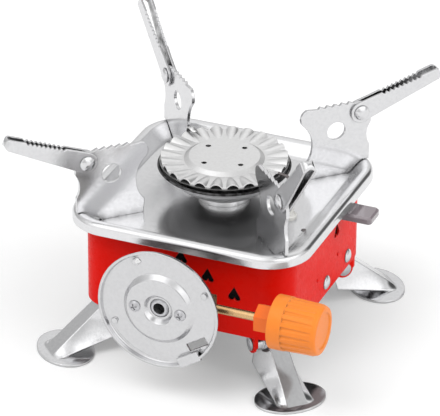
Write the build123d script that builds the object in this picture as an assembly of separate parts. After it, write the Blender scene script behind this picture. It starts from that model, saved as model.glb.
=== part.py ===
from build123d import *
from math import asin, atan2, cos, hypot, pi, radians, sin, sqrt
import os

# A folding camping gas burner on four legs. Lengths in millimetres, angles in degrees.
# The origin is on the ground under the burner's axis; front is -Y, right is +X, up is +Z.
# A piece on a diagonal is drawn with X outward, Y across and Z up, then turned to its corner.

# Corners: direction of each diagonal, and how far each arm is raised in the rest pose.
corner_angles = {"front_left": 225.0, "rear_left": 135.0, "rear_right": 45.0, "front_right": 315.0}
arm_tilts = {"front_left": 24.0, "rear_left": 38.0, "rear_right": 19.5, "front_right": 49.0}

# Clearances shared by the pieces that fit together.
fit_gap = 0.1
run_gap = 0.06
side_gap = 0.12
slot_gap = 0.3
cut_over = 3.0

# Drip tray.
tray_width = 88.0
tray_corner = 15.6
tray_sheet = 0.6
tray_edge_height = 49.5
tray_rim_rise = 4.2
tray_crest_inset = 3.2
tray_wall_inset = 8.4
tray_floor_lift = 0.1
tray_rim_round = 1.9
tray_crest_round = 2.8
tray_floor_round = 3.0
tray_floor_lap = 1.2

# Body shell, with the ears for the legs and the heart vents.
shell_width = 77.6
shell_corner = 10.5
shell_sheet = 0.8
shell_bottom = 18.5
shell_top_round = 2.0
ear_sheet = 1.0
ear_round = 3.4
ear_rise = 9.0
heart_width = 4.6
heart_height = 5.4
heart_drop_first = 4.0
heart_step = 9.9
heart_drop = 5.2
side_heart_offset = 9.8
side_heart_drop = 9.8

# Pot brackets: upright plates on the diagonals.
bracket_sheet = 1.2
bracket_inner = 28.8
bracket_depth = 27.2
bracket_height = 27.9
bracket_hole_radius = 3.5
bracket_boss = 3.8
bracket_tooth_pitch = 2.8
bracket_tooth_height = 0.9
bracket_tooth_count = 5
bracket_tooth_start = 12.3
bracket_wall_gap = 0.25
bracket_foot_lead = 1.3
bracket_tab_width = 5.0
bracket_tab_drop = 2.6
bracket_tab_turn = 2.6
bracket_tab_places = (34.6, 43.0)
# Places on the bracket, as shares of its depth from the inner tip and of its height.
pivot_depth_share = 0.838
pivot_height_share = 0.841
hole_depth_share = 0.500
hole_height_share = 0.627
tip_top_shares = (0.085, 0.982)
tip_side_shares = (0.0, 0.885)
neck_shares = (0.030, 0.775)
hollow_shares = (0.165, 0.500)
heel_shares = (0.052, 0.190)
toe_shares = (0.065, 0.0)
outer_foot_shares = (0.972, 0.170)
outer_low_shares = (0.975, 0.360)
waist_shares = (0.932, 0.505)
outer_high_shares = (0.990, 0.680)

# Pot arms: hairpins of toothed sheet, pinched on the bracket at the root.
arm_sheet = 0.85
arm_length = 32.3
arm_root_height = 7.7
arm_nose_height = 3.7
arm_nose_width = 4.9
arm_nose_round = 2.2
arm_pinch = 5.2
arm_bend_round = 6.0
arm_tooth_start = 9.6
arm_tooth_pitch = 1.72
arm_tooth_height = 0.85
arm_tooth_count = 9
arm_tip_round = 1.5
rivet_radius = 1.6
rivet_head_radius = 2.7
rivet_head_height = 1.3
rivet_head_edge = 0.35

# Burner.
cup_sheet = 0.7
cup_rim_radius = 23.6
cup_rim_rise = 12.9
cup_ledge_radius = 22.4
cup_ledge_rise = 11.3
cup_step_radius = 19.4
cup_belly_radius = 18.4
cup_belly_rise = 8.6
cup_low_radius = 13.4
cup_low_rise = 5.0
cup_floor_rise = 3.8
cup_floor_radius = 9.4
cup_bend_round = 1.0
cup_belly_round = 5.0
cap_sheet = 0.6
cap_radius = 22.25
cap_edge_rise = 14.8
cap_disc_radius = 12.5
cap_disc_rise = 1.1
cap_slope_radius = 14.2
cap_pleat_count = 24
cap_pleat_width = 4.5
cap_pleat_height = 1.25
cap_pleat_wall = 0.45
cap_pleat_start = 14.6
cap_skirt_radius = 20.2
cap_skirt_sheet = 0.6
cap_ring_radius = 22.7
cap_ring_height = 0.4
cap_hole_radius = 0.95
cap_hole_circle = 9.05
cap_hole_angle = 61.0
cap_hole_count = 4
nut_ring_radius = 9.0
nut_ring_height = 1.7
nut_neck_radius = 7.9
tube_radius = 5.5
tube_bore = 4.6
tube_head_radius = 7.2
tube_head_height = 0.9
tube_drop = 16.0
air_hole_radius = 2.0
air_hole_rise = 4.0
air_hole_count = 4
tube_nut_radius = 8.6
tube_nut_height = 3.2

# Jet below the mixing tube, and the pipe to it.
jet_holder_radius = 6.3
jet_holder_height = 6.0
jet_boss_radius = 2.8
jet_boss_reach = 9.2
jet_radius = 2.2
jet_height = 4.2
jet_tip_radius = 0.9
jet_hole_radius = 0.35
pipe_radius = 2.0
pipe_bore = 1.2
pipe_bend = 6.0
pipe_run_out = 8.6
pipe_run_in = 6.0

# Gas valve and canister connector. The spindle lies along X in front of the shell.
valve_reach = 11.2
valve_drop = 14.6
valve_core_radius = 7.6
valve_core_back = 7.0
valve_spigot_radius = 5.0
valve_flange_radius = 7.4
valve_flange_height = 1.8
valve_spigot_reach = 6.4
valve_nut_radius = 7.8
valve_nut_height = 3.0
valve_boss_radius = 5.4
valve_boss_right = 12.0
valve_boss_left = 9.4
valve_bore = 3.0
valve_bore_depth = 9.0
gland_radius = 5.2
gland_height = 4.2
spindle_radius = 1.5
spindle_screw_radius = 2.4
spindle_screw_length = 5.0
spindle_seal_width = 1.6
disc_sheet = 0.9
disc_radius = 22.2
disc_reach = 9.3
disc_lip_height = 1.9
disc_step_radius = 11.4
disc_step_rise = 1.8
disc_lip_round = 1.0
disc_step_round = 0.9
disc_edge_roll = 0.5
disc_crater_radius = 5.6
disc_crater_depth = 1.8
disc_crater_round = 1.2
disc_bump_radius = 1.1
disc_bump_rise = 0.8
disc_bump_circle = 18.6
disc_bump_angles = (27.0, 118.0, 207.0)
disc_latch_angle = 302.0
disc_window_place = 16.8
disc_window_offset = 6.0
disc_window_length = 8.0
disc_window_height = 2.9
disc_tab_place = 18.6
disc_tab_offset = 0.9
disc_tab_length = 8.6
disc_tab_reach = 3.5
disc_screw_offset = 8.4
disc_screw_radius = 1.2
disc_screw_depth = 5.0
disc_screw_head_radius = 2.05
disc_screw_head_height = 1.2
disc_screw_cross_width = 0.55
disc_screw_cross_length = 2.3
disc_screw_cross_depth = 0.6
port_radius = 3.4
port_bore = 2.1
port_depth = 5.8
port_front_lap = 0.5
port_lead_in = 0.6
port_seal_height = 1.2
port_seal_bore = 1.3
port_pin_radius = 0.7
port_pin_length = 2.3
port_seal_radius = 2.5

# Control knob.
knob_hub_start = 33.3
knob_hub_across = 9.2
knob_start = 39.6
knob_end = 57.0
knob_ring_radius = 9.45
knob_ring_length = 4.9
knob_rib_radius = 9.25
knob_rib_end_radius = 8.95
knob_rib_length = 10.6
knob_end_radius = 8.3
knob_edge_round = 1.0
knob_groove_radius = 0.8
knob_groove_count = 20
knob_socket_depth = 10.0
knob_end_dish = 0.5
knob_dish_radius = 6.6

# Legs, standing on oval pads.
leg_sheet = 0.9
leg_pin_inset = 7.12
leg_pin_drop = 3.7
leg_pin_radius = 1.5
leg_pin_head_radius = 2.5
leg_pin_head_height = 0.9
leg_width = 13.3
leg_web_width = 7.2
leg_root_width = 6.2
leg_slope = 40.0
leg_depth_share = 0.52
leg_tip_depth = 0.35
leg_length = 34.0
leg_reach = 23.0
leg_swing = 6.1
leg_lobe = 4.0
leg_barrel_radius = 2.7
pad_inset = 6.4
pad_across = 25.6
pad_along = 19.6

# Igniter.
igniter_offset = 11.6
igniter_drop = 4.6
piezo_radius = 3.7
piezo_inset = 26.3
piezo_length = 17.5
piezo_collar_radius = 3.2
piezo_collar_length = 3.0
piezo_bore = 1.7
button_width = 9.4
button_height = 2.2
button_grip_height = 2.5
button_edge_slant = 0.7
button_proud = 13.5
button_end_round = 1.3
button_stop_length = 1.0
button_travel = 3.6
button_stem_radius = 1.6
button_stem_length = 4.2
button_drop = 3.7
yoke_sheet = 1.0
yoke_height = 8.6
yoke_margin = 3.4
yoke_strip_width = 4.0
yoke_shelf_inset = 1.5
side_rivet_places = (0.2, 21.0)
side_rivet_rise = 4.55
side_rivet_radius = 1.2
side_rivet_head_radius = 2.5
side_rivet_head_height = 1.3
insulator_place = 27.4
insulator_angle = -13.0
insulator_radius = 1.9
insulator_flange_radius = 2.9
insulator_flange_height = 1.2
insulator_rise = 12.6
insulator_drop = 3.8
electrode_radius = 0.55
electrode_rise = 15.9
electrode_tip_place = 22.9
electrode_tail = 3.0
electrode_bend = 1.4
lead_radius = 0.8
lead_bend = 2.6
lead_drop = 4.6
lead_bay = 4.4

# Values that follow from those above.
tray_floor = tray_edge_height + tray_floor_lift
shell_top = tray_floor - tray_sheet
shell_inside_top = shell_top - shell_sheet
shell_half = shell_width / 2
tray_half = tray_width / 2
tray_corner_place = (tray_half - tray_corner) * sqrt(2)
tray_corner_reach = tray_corner_place + tray_corner
shell_corner_place = (shell_half - shell_corner) * sqrt(2)
shell_corner_reach = shell_corner_place + shell_corner
heart_level = shell_top - heart_drop_first
side_heart_level = shell_top - side_heart_drop
pivot_place = bracket_inner + pivot_depth_share * bracket_depth
pivot_level = tray_floor + pivot_height_share * bracket_height
arm_root_half = bracket_sheet / 2 + side_gap + arm_sheet
cup_rim_level = tray_floor + cup_rim_rise
cup_ledge_level = tray_floor + cup_ledge_rise
cup_belly_level = tray_floor + cup_belly_rise
cup_low_level = tray_floor + cup_low_rise
cup_floor_level = tray_floor + cup_floor_rise
cap_edge_level = tray_floor + cap_edge_rise
cap_seat_level = cap_edge_level - cap_sheet
cap_pleat_radius = cap_pleat_width * cap_pleat_width / cap_pleat_height / 8 + cap_pleat_height / 2
cap_pleat_tilt = atan2(cap_pleat_height, cap_radius - cap_pleat_start)
tube_bottom = shell_inside_top - tube_drop
leg_pin_place = shell_corner_reach - leg_pin_inset
leg_pin_level = shell_bottom - leg_pin_drop
leg_tip_place = leg_pin_place + leg_reach
leg_tip_level = leg_sheet
pad_place = leg_tip_place - pad_inset
ear_near = leg_width / 2 + slot_gap
ear_far = ear_near + ear_sheet
valve_panel = shell_half
valve_front = valve_panel + valve_reach
valve_level = shell_top - valve_drop
disc_lip_plane = valve_front + disc_reach
disc_plate_plane = disc_lip_plane - disc_lip_height
disc_step_plane = disc_plate_plane + disc_step_rise
disc_back_plane = disc_step_plane - disc_sheet
disc_crater_plane = disc_step_plane - disc_crater_depth
valve_gland_end = valve_boss_right + gland_height
jet_holder_bottom = tube_bottom - jet_holder_height
pipe_low_level = jet_holder_bottom + jet_holder_height / 2
pipe_high_start = valve_panel - valve_spigot_reach
igniter_level = shell_top - igniter_drop
piezo_start = shell_half - piezo_inset
button_bottom = shell_top - button_drop
button_reach = shell_half + button_proud
yoke_shelf_start = piezo_start + yoke_shelf_inset
side_rivet_level = shell_bottom + side_rivet_rise
insulator_top = tray_floor + insulator_rise
insulator_bottom = shell_inside_top - insulator_drop
insulator_x = insulator_place * cos(radians(insulator_angle))
insulator_y = insulator_place * sin(radians(insulator_angle))
electrode_level = tray_floor + electrode_rise


def sheet_face(points, radii, thickness, side):
    """A strip of even thickness along a path with rounded corners."""
    path = FilletPolyline(*points, radius=radii)
    return make_face(offset(path, amount=thickness, side=side, kind=Kind.INTERSECTION))


def polygon_face(points):
    """A flat face inside a closed run of straight lines."""
    return make_face(Polyline(*points, close=True))


def upright(face, thickness):
    """A plate in the XZ plane, even about it, from a face drawn flat."""
    return extrude(Plane.XZ * face, amount=thickness / 2, both=True)


def at_corner(angle, shape):
    """A shape drawn along +X, turned to a corner's diagonal."""
    return Rot(0, 0, angle) * shape


def rod_x(radius, start, end, y, z):
    """A round rod along X."""
    rod = Cylinder(radius, end - start, rotation=(0, 90, 0))
    return Pos((start + end) / 2, y, z) * rod


def rod_y(radius, start, end, x, z):
    """A round rod along Y."""
    rod = Cylinder(radius, end - start, rotation=(90, 0, 0))
    return Pos(x, (start + end) / 2, z) * rod


def rod_z(radius, start, end, x, y):
    """A round rod along Z."""
    return Pos(x, y, (start + end) / 2) * Cylinder(radius, end - start)


def block(x_start, x_end, y_start, y_end, z_start, z_end):
    """A box between six planes."""
    middle = Pos((x_start + x_end) / 2, (y_start + y_end) / 2, (z_start + z_end) / 2)
    return middle * Box(x_end - x_start, y_end - y_start, z_end - z_start)


def hex_prism(radius, height):
    """A hexagonal prism standing on the XY plane."""
    return extrude(RegularPolygon(radius, 6), amount=height)


def dome_arc(radius, height, edge, base):
    """The round top of a head, from its edge in to the axis."""
    rise = height - edge
    sphere = (radius * radius + rise * rise) / (2 * rise)
    half_angle = asin(radius / sphere) / 2
    middle = (sphere * sin(half_angle), base + height - sphere + sphere * cos(half_angle))
    return ThreePointArc((radius, base + edge), middle, (0, base + height))


def domed_head(radius, height, edge):
    """A round head on the XY plane: a short edge under a dome."""
    rim = Polyline((0, height), (0, 0), (radius, 0), (radius, edge))
    profile = make_face(Wire(rim.edges() + dome_arc(radius, height, edge, 0).edges()))
    return revolve(Plane.XZ * profile, Axis.Z)


def turned_rivet(shank_radius, length, radius, height, edge):
    """A rivet along Z, even about the XY plane, with a domed head at each end."""
    reach = length / 2
    rim = Polyline(
        (0, 0), (shank_radius, 0), (shank_radius, reach), (radius, reach), (radius, reach + edge)
    )
    axis = Line((0, reach + height), (0, 0))
    profile = make_face(Wire(rim.edges() + dome_arc(radius, height, edge, reach).edges() + axis.edges()))
    half = revolve(Plane.XZ * profile, Axis.Z)
    return half + mirror(half, about=Plane.XY)


def heart_face():
    """A heart with its point up, centred on its own height."""
    lobe = heart_width / 4
    apex = heart_height - lobe
    spread = asin(lobe / hypot(lobe, apex))
    aim = atan2(-apex, lobe) + spread
    touch_x = apex * cos(aim)
    touch_y = apex + apex * sin(aim)
    body = polygon_face([(0, apex), (touch_x, touch_y), (lobe, 0), (-lobe, 0), (-touch_x, touch_y)])
    lobes = Pos(lobe, 0) * Circle(lobe) + Pos(-lobe, 0) * Circle(lobe)
    return Pos(0, lobe - heart_height / 2) * (body + lobes)


def bracket_point(shares):
    """A place on the bracket's plane, from its shares."""
    return (bracket_inner + shares[0] * bracket_depth, tray_floor + shares[1] * bracket_height)


def make_tray():
    half = tray_half
    points = [
        (half, tray_edge_height),
        (half, tray_edge_height + tray_rim_rise),
        (half - tray_crest_inset, tray_edge_height + tray_rim_rise),
        (half - tray_wall_inset, tray_floor),
        (half - tray_wall_inset - tray_floor_lap, tray_floor),
    ]
    radii = [tray_rim_round, tray_crest_round, tray_floor_round]
    section = sheet_face(points, radii, tray_sheet, Side.LEFT)
    straight = tray_width - 2 * tray_corner
    side = upright(section, straight)
    centre = straight / 2
    start = Pos(0, centre, 0) * (Plane.XZ * section)
    turn = revolve(start, Axis((centre, centre, 0), (0, 0, 1)), revolution_arc=90)
    quarter = side + turn
    floor_width = tray_width - 2 * tray_wall_inset - tray_floor_lap
    floor_corner = tray_corner - tray_wall_inset - tray_floor_lap / 2
    plate = Pos(0, 0, tray_floor - tray_sheet) * extrude(
        RectangleRounded(floor_width, floor_width, floor_corner), amount=tray_sheet
    )
    tray = plate
    for turn_angle in (0, 90, 180, 270):
        tray = tray + Rot(0, 0, turn_angle) * quarter
    return tray


def floor_cutters():
    """Openings shared by the tray's floor and the shell's top."""
    low = shell_inside_top - cut_over
    high = tray_floor + cut_over
    cutters = [rod_z(tube_radius + fit_gap, low, high, 0, 0)]
    cutters.append(rod_z(insulator_radius + fit_gap, low, high, insulator_x, insulator_y))
    for angle in corner_angles.values():
        for place in bracket_tab_places:
            half_tab = bracket_tab_width / 2 + slot_gap / 2
            half_sheet = bracket_sheet / 2 + fit_gap
            slot = block(place - half_tab, place + half_tab, -half_sheet, half_sheet, low, high)
            cutters.append(at_corner(angle, slot))
    return cutters


def make_shell():
    height = shell_top - shell_bottom
    outline = RectangleRounded(shell_width, shell_width, shell_corner)
    outer = Pos(0, 0, shell_bottom) * extrude(outline, amount=height)
    outer = fillet(outer.faces().sort_by(Axis.Z)[-1].edges(), shell_top_round)
    inner_width = shell_width - 2 * shell_sheet
    inner_outline = RectangleRounded(inner_width, inner_width, shell_corner - shell_sheet)
    inner_height = shell_inside_top - shell_bottom
    inner = Pos(0, 0, shell_bottom) * extrude(inner_outline, amount=inner_height)
    inner = fillet(inner.faces().sort_by(Axis.Z)[-1].edges(), shell_top_round - shell_sheet)
    skirt = Pos(0, 0, shell_bottom - cut_over) * extrude(inner_outline, amount=2 * cut_over)
    shell = outer - (inner + skirt)
    column = extrude(outline, amount=shell_top)
    for angle in corner_angles.values():
        for sign in (-1, 1):
            shell = shell + (at_corner(angle, make_ear(sign)) & column)
    shell = shell - [at_corner(angle, pin_hole()) for angle in corner_angles.values()]
    return shell - shell_cutters()


def make_ear(sign):
    """One of the two plates that carry a leg's pin, run past the wall and trimmed later."""
    tip_x = leg_pin_place
    tip_z = leg_pin_level
    top = shell_bottom + ear_rise
    back = leg_pin_place - ear_round
    front = shell_corner_place + shell_corner + cut_over
    plate = polygon_face([(back, tip_z), (front, tip_z), (front, top), (back, top)])
    plate = plate + Pos(tip_x, tip_z) * Circle(ear_round)
    middle = sign * (ear_near + ear_far) / 2
    return Pos(0, middle, 0) * upright(plate, ear_sheet)


def pin_hole():
    radius = leg_pin_radius + fit_gap / 2
    return rod_y(radius, -ear_far - cut_over, ear_far + cut_over, leg_pin_place, leg_pin_level)


def shell_cutters():
    cutters = floor_cutters()
    heart = extrude(Plane.XZ * heart_face(), amount=shell_sheet + cut_over, both=True)
    for step in (-2, -1, 0, 1, 2):
        level = heart_level - abs(step) * heart_drop
        for angle in (0, 180, 270):
            placed = Rot(0, 0, angle) * (Pos(step * heart_step, -shell_half, level) * heart)
            cutters.append(placed)
    cutters.append(Rot(0, 0, 90) * (Pos(side_heart_offset, -shell_half, side_heart_level) * heart))
    spigot_hole = valve_spigot_radius + fit_gap
    cutters.append(rod_y(spigot_hole, -shell_half - cut_over, -shell_half + cut_over, 0, valve_level))
    for place in side_rivet_places:
        near = shell_half - cut_over
        radius = side_rivet_radius + fit_gap / 2
        cutters.append(rod_x(radius, near, shell_half + cut_over, place, side_rivet_level))
    half_width = button_width / 2 + slot_gap
    low = button_bottom - slot_gap
    high = button_bottom + button_height + slot_gap
    window = block(
        shell_half - cut_over, shell_half + cut_over,
        igniter_offset - half_width, igniter_offset + half_width,
        low, high
    )
    cutters.append(window)
    return cutters


def make_bracket():
    pivot = (pivot_place, pivot_level)
    top = tray_floor + bracket_height
    root = top - bracket_tooth_height
    tip_top = bracket_point(tip_top_shares)
    neck = bracket_point(neck_shares)
    heel = bracket_point(heel_shares)
    toe = bracket_point(toe_shares)
    foot_end = (tray_corner_reach - tray_wall_inset - bracket_foot_lead, tray_floor)
    rim_foot = (
        tray_corner_reach - tray_crest_inset - bracket_wall_gap,
        tray_edge_height + tray_rim_rise + bracket_wall_gap,
    )
    outer_foot = (bracket_point(outer_foot_shares)[0], rim_foot[1])
    outer_low = bracket_point(outer_low_shares)
    waist = bracket_point(waist_shares)
    outer_high = bracket_point(outer_high_shares)
    boss_side = (pivot[0] + bracket_boss, pivot[1])
    boss_slant = bracket_boss * sin(pi / 4)
    boss_middle = (pivot[0] + boss_slant, pivot[1] + boss_slant)
    boss_top = (pivot[0], pivot[1] + bracket_boss)
    teeth = [boss_top]
    half_run = (bracket_tooth_count - 1) * bracket_tooth_pitch / 2
    first = bracket_inner + bracket_depth - bracket_tooth_start + half_run
    rise_share = 0.7
    for number in range(bracket_tooth_count):
        place = first - number * bracket_tooth_pitch
        teeth.append((place, root))
        teeth.append((place - rise_share * bracket_tooth_pitch, top))
    teeth.append((first - bracket_tooth_count * bracket_tooth_pitch, root))
    teeth.append(tip_top)
    outline = [
        Polyline(*teeth),
        ThreePointArc(tip_top, bracket_point(tip_side_shares), neck),
        ThreePointArc(neck, bracket_point(hollow_shares), heel),
        Polyline(heel, toe, foot_end, rim_foot, outer_foot, outer_low),
        ThreePointArc(outer_low, waist, outer_high),
        Line(outer_high, boss_side),
        ThreePointArc(boss_side, boss_middle, boss_top),
    ]
    plate_face = make_face(Wire([edge for piece in outline for edge in piece.edges()]))
    hole_place = bracket_point((hole_depth_share, hole_height_share))
    plate_face = plate_face - Pos(*hole_place) * Circle(bracket_hole_radius)
    plate_face = plate_face - Pos(*pivot) * Circle(rivet_radius + fit_gap / 2)
    plate = upright(plate_face, bracket_sheet)
    half_sheet = bracket_sheet / 2
    tab_low = shell_inside_top - bracket_tab_drop
    for place in bracket_tab_places:
        near = place - bracket_tab_width / 2
        far = place + bracket_tab_width / 2
        lap = tray_floor + bracket_sheet
        tab = block(near, far, -half_sheet, half_sheet, tab_low, lap)
        tab_high = tab_low + bracket_sheet
        turned = block(near, far, -half_sheet, half_sheet + bracket_tab_turn, tab_low, tab_high)
        plate = plate + tab + turned
    return plate


def arm_half(along):
    """Half the arm's height at a distance from its pivot."""
    share = along / arm_length
    return (arm_root_height + (arm_nose_height - arm_root_height) * share) / 2


def make_arm():
    root = arm_root_height / 2
    back = -root - cut_over
    nose_half = arm_nose_width / 2
    path = [
        (back, arm_root_half),
        (arm_pinch, arm_root_half),
        (arm_length, nose_half),
        (arm_length, -nose_half),
        (arm_pinch, -arm_root_half),
        (back, -arm_root_half),
    ]
    radii = [arm_bend_round, arm_nose_round, arm_nose_round, arm_bend_round]
    hairpin = sheet_face(path, radii, arm_sheet, Side.RIGHT)
    tall = Pos(0, 0, -root - cut_over) * extrude(hairpin, amount=arm_root_height + 2 * cut_over)
    teeth_end = arm_tooth_start + arm_tooth_count * arm_tooth_pitch
    upper = [(0, root)]
    for number in range(arm_tooth_count):
        place = arm_tooth_start + number * arm_tooth_pitch
        middle = place + arm_tooth_pitch / 2
        upper.append((place, arm_half(place)))
        upper.append((middle, arm_half(middle) - arm_tooth_height))
    upper.append((teeth_end, arm_half(teeth_end)))
    nose_start = arm_length - arm_tip_round
    nose_high = (nose_start, arm_half(nose_start))
    upper.append(nose_high)
    nose_low = (nose_start, -arm_half(nose_start))
    outline = [
        Polyline(*upper),
        ThreePointArc(nose_high, (arm_length, 0), nose_low),
        Line(nose_low, (0, -root)),
        ThreePointArc((0, -root), (-root, 0), (0, root)),
    ]
    side_face = make_face(Wire([edge for piece in outline for edge in piece.edges()]))
    side_face = side_face - Circle(rivet_radius + run_gap)
    return tall & upright(side_face, arm_nose_width + 2 * cut_over)


def make_arm_rivet():
    length = 2 * (arm_root_half + fit_gap)
    rivet = turned_rivet(rivet_radius, length, rivet_head_radius, rivet_head_height, rivet_head_edge)
    return Pos(pivot_place, 0, pivot_level) * (Rot(90, 0, 0) * rivet)


def make_cup():
    points = [
        (cup_rim_radius - cup_sheet, cup_rim_level),
        (cup_ledge_radius - cup_sheet, cup_ledge_level),
        (cup_step_radius, cup_ledge_level),
        (cup_belly_radius, cup_belly_level),
        (cup_low_radius, cup_low_level),
        (cup_floor_radius, cup_floor_level),
        (tube_radius + fit_gap, cup_floor_level),
    ]
    radii = [cup_bend_round, cup_bend_round, cup_belly_round, cup_belly_round, cup_bend_round]
    section = sheet_face(points, radii, cup_sheet, Side.LEFT)
    return revolve(Plane.XZ * section, Axis.Z)


def cap_pleat(radius, start):
    """A rod along +X that leaves the cap's flat at the pleats' start and rises to the edge."""
    length = cap_radius - start + cut_over
    rod = Cylinder(radius, length, rotation=(0, 90, 0), align=(Align.CENTER, Align.CENTER, Align.MIN))
    lean = Rot(0, -cap_pleat_tilt * 180 / pi, 0)
    leaning = Pos(cap_pleat_start, 0, cap_edge_level) * lean
    sunk = leaning * Pos(start - cap_pleat_start, 0, -cap_pleat_radius)
    return sunk * rod


def make_cap():
    top = cap_edge_level
    disc_top = top + cap_disc_rise
    plate_points = [
        (0, disc_top),
        (cap_disc_radius, disc_top),
        (cap_slope_radius, top),
        (cap_radius, top),
        (cap_radius, top - cap_sheet),
        (cap_slope_radius, top - cap_sheet),
        (cap_disc_radius, disc_top - cap_sheet),
        (0, disc_top - cap_sheet),
    ]
    crown = revolve(Plane.XZ * polygon_face(plate_points), Axis.Z)
    keep = rod_z(cap_radius, cap_seat_level, disc_top + cap_pleat_height, 0, 0)
    ridge = cap_pleat(cap_pleat_radius, cap_pleat_start)
    hollow = cap_pleat(cap_pleat_radius - cap_pleat_wall, cap_pleat_start + cap_pleat_wall)
    step = 360 / cap_pleat_count
    for number in range(cap_pleat_count):
        crown = crown + Rot(0, 0, number * step) * ridge
    cap = crown & keep
    for number in range(cap_pleat_count):
        cap = cap - Rot(0, 0, number * step) * hollow
    skirt_points = [
        (cap_skirt_radius - cap_skirt_sheet, cap_seat_level),
        (cap_ring_radius, cap_seat_level),
        (cap_ring_radius, cap_seat_level - cap_ring_height),
        (cap_skirt_radius, cap_seat_level - cap_ring_height),
        (cap_skirt_radius, cup_ledge_level),
        (cap_skirt_radius - cap_skirt_sheet, cup_ledge_level),
    ]
    cap = cap + revolve(Plane.XZ * polygon_face(skirt_points), Axis.Z)
    for number in range(cap_hole_count):
        angle = radians(cap_hole_angle + number * 360 / cap_hole_count)
        place = (cap_hole_circle * cos(angle), cap_hole_circle * sin(angle))
        cap = cap - rod_z(cap_hole_radius, top - cut_over, disc_top + cut_over, *place)
    return cap


def make_burner_nut():
    points = [
        (tube_radius + fit_gap / 2, tray_floor),
        (nut_ring_radius, tray_floor),
        (nut_ring_radius, tray_floor + nut_ring_height),
        (nut_neck_radius, tray_floor + nut_ring_height),
        (nut_neck_radius, cup_floor_level - cup_sheet),
        (tube_radius + fit_gap / 2, cup_floor_level - cup_sheet),
    ]
    return revolve(Plane.XZ * polygon_face(points), Axis.Z)


def make_mixing_tube():
    head_low = cup_floor_level + fit_gap
    points = [
        (tube_bore, tube_bottom),
        (tube_radius, tube_bottom),
        (tube_radius, head_low),
        (tube_head_radius, head_low),
        (tube_head_radius, head_low + tube_head_height),
        (tube_bore, head_low + tube_head_height),
    ]
    tube = revolve(Plane.XZ * polygon_face(points), Axis.Z)
    for number in range(air_hole_count):
        hole = rod_x(air_hole_radius, 0, tube_radius + cut_over, 0, tube_bottom + air_hole_rise)
        tube = tube - Rot(0, 0, (number + 0.5) * 360 / air_hole_count) * hole
    return tube


def make_tube_nut():
    nut = Pos(0, 0, shell_inside_top - tube_nut_height) * hex_prism(tube_nut_radius, tube_nut_height)
    low = shell_inside_top - 2 * tube_nut_height
    return nut - rod_z(tube_radius + fit_gap / 2, low, shell_inside_top, 0, 0)


def make_jet_holder():
    holder = Pos(0, 0, jet_holder_bottom) * hex_prism(jet_holder_radius, jet_holder_height)
    holder = holder + rod_y(jet_boss_radius, -jet_boss_reach, 0, 0, pipe_low_level)
    bore = pipe_radius + fit_gap / 2
    holder = holder - rod_y(bore, -jet_boss_reach, -jet_boss_reach / 2, 0, pipe_low_level)
    holder = holder - rod_y(pipe_bore, -jet_boss_reach, 0, 0, pipe_low_level)
    return holder - rod_z(jet_radius + fit_gap / 2, pipe_low_level, tube_bottom, 0, 0)


def make_gas_jet():
    points = [
        (jet_hole_radius, pipe_low_level + pipe_bore),
        (jet_radius, pipe_low_level + pipe_bore),
        (jet_radius, tube_bottom + jet_height / 2),
        (jet_tip_radius, tube_bottom + jet_height),
        (jet_hole_radius, tube_bottom + jet_height),
    ]
    return revolve(Plane.XZ * polygon_face(points), Axis.Z)


def make_gas_pipe():
    start = -pipe_high_start - valve_spigot_reach / 2
    path = FilletPolyline(
        (0, start, valve_level),
        (0, -pipe_high_start + pipe_run_out, valve_level),
        (0, -jet_boss_reach - pipe_run_in, pipe_low_level),
        (0, -jet_boss_reach / 2, pipe_low_level),
        radius=[pipe_bend, pipe_bend],
    )
    ring = Circle(pipe_radius) - Circle(pipe_bore)
    section = Plane(origin=(0, start, valve_level), x_dir=(1, 0, 0), z_dir=(0, 1, 0)) * ring
    return sweep(section, path=path)


def make_valve_body():
    back = -valve_front + valve_core_back
    panel = -valve_panel
    points = [
        (0, disc_crater_plane - disc_sheet),
        (disc_crater_radius + disc_sheet, disc_crater_plane - disc_sheet),
        (disc_crater_radius + disc_sheet, disc_back_plane),
        (disc_step_radius - disc_sheet - disc_step_round, disc_back_plane),
        (disc_step_radius - disc_sheet - disc_step_round, disc_back_plane - disc_sheet),
        (valve_core_radius, disc_plate_plane - disc_sheet - disc_step_rise),
        (valve_core_radius, -back),
        (valve_spigot_radius + valve_flange_height, -back),
        (valve_spigot_radius, -panel + valve_flange_height),
        (valve_flange_radius, -panel + valve_flange_height),
        (valve_flange_radius, -panel),
        (valve_spigot_radius, -panel),
        (valve_spigot_radius, pipe_high_start),
        (0, pipe_high_start),
    ]
    turned = revolve(Plane.XZ * polygon_face(points), Axis.Z)
    body = Pos(0, 0, valve_level) * (Rot(90, 0, 0) * turned)
    body = body + rod_x(valve_boss_radius, -valve_boss_left, valve_boss_right, -valve_front, valve_level)
    bore_end = valve_boss_right - valve_bore_depth
    body = body - rod_x(valve_bore, bore_end, valve_boss_right, -valve_front, valve_level)
    pipe_seat = -pipe_high_start - valve_spigot_reach / 2
    body = body - rod_y(pipe_radius + fit_gap / 2, pipe_seat, -pipe_high_start, 0, valve_level)
    body = body - rod_y(pipe_bore, -valve_front, -pipe_high_start, 0, valve_level)
    seat = port_seat()
    body = body - rod_y(port_radius + fit_gap / 2, -disc_back_plane, seat, 0, valve_level)
    for sign in (-1, 1):
        screw = rod_y(
            disc_screw_radius + fit_gap / 2, -disc_back_plane, -disc_back_plane + disc_screw_depth,
            sign * disc_screw_offset, valve_level,
        )
        body = body - screw
    return body


def port_seat():
    """How far back the gas port reaches into the valve body."""
    return -disc_crater_plane - port_front_lap + port_depth


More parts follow.
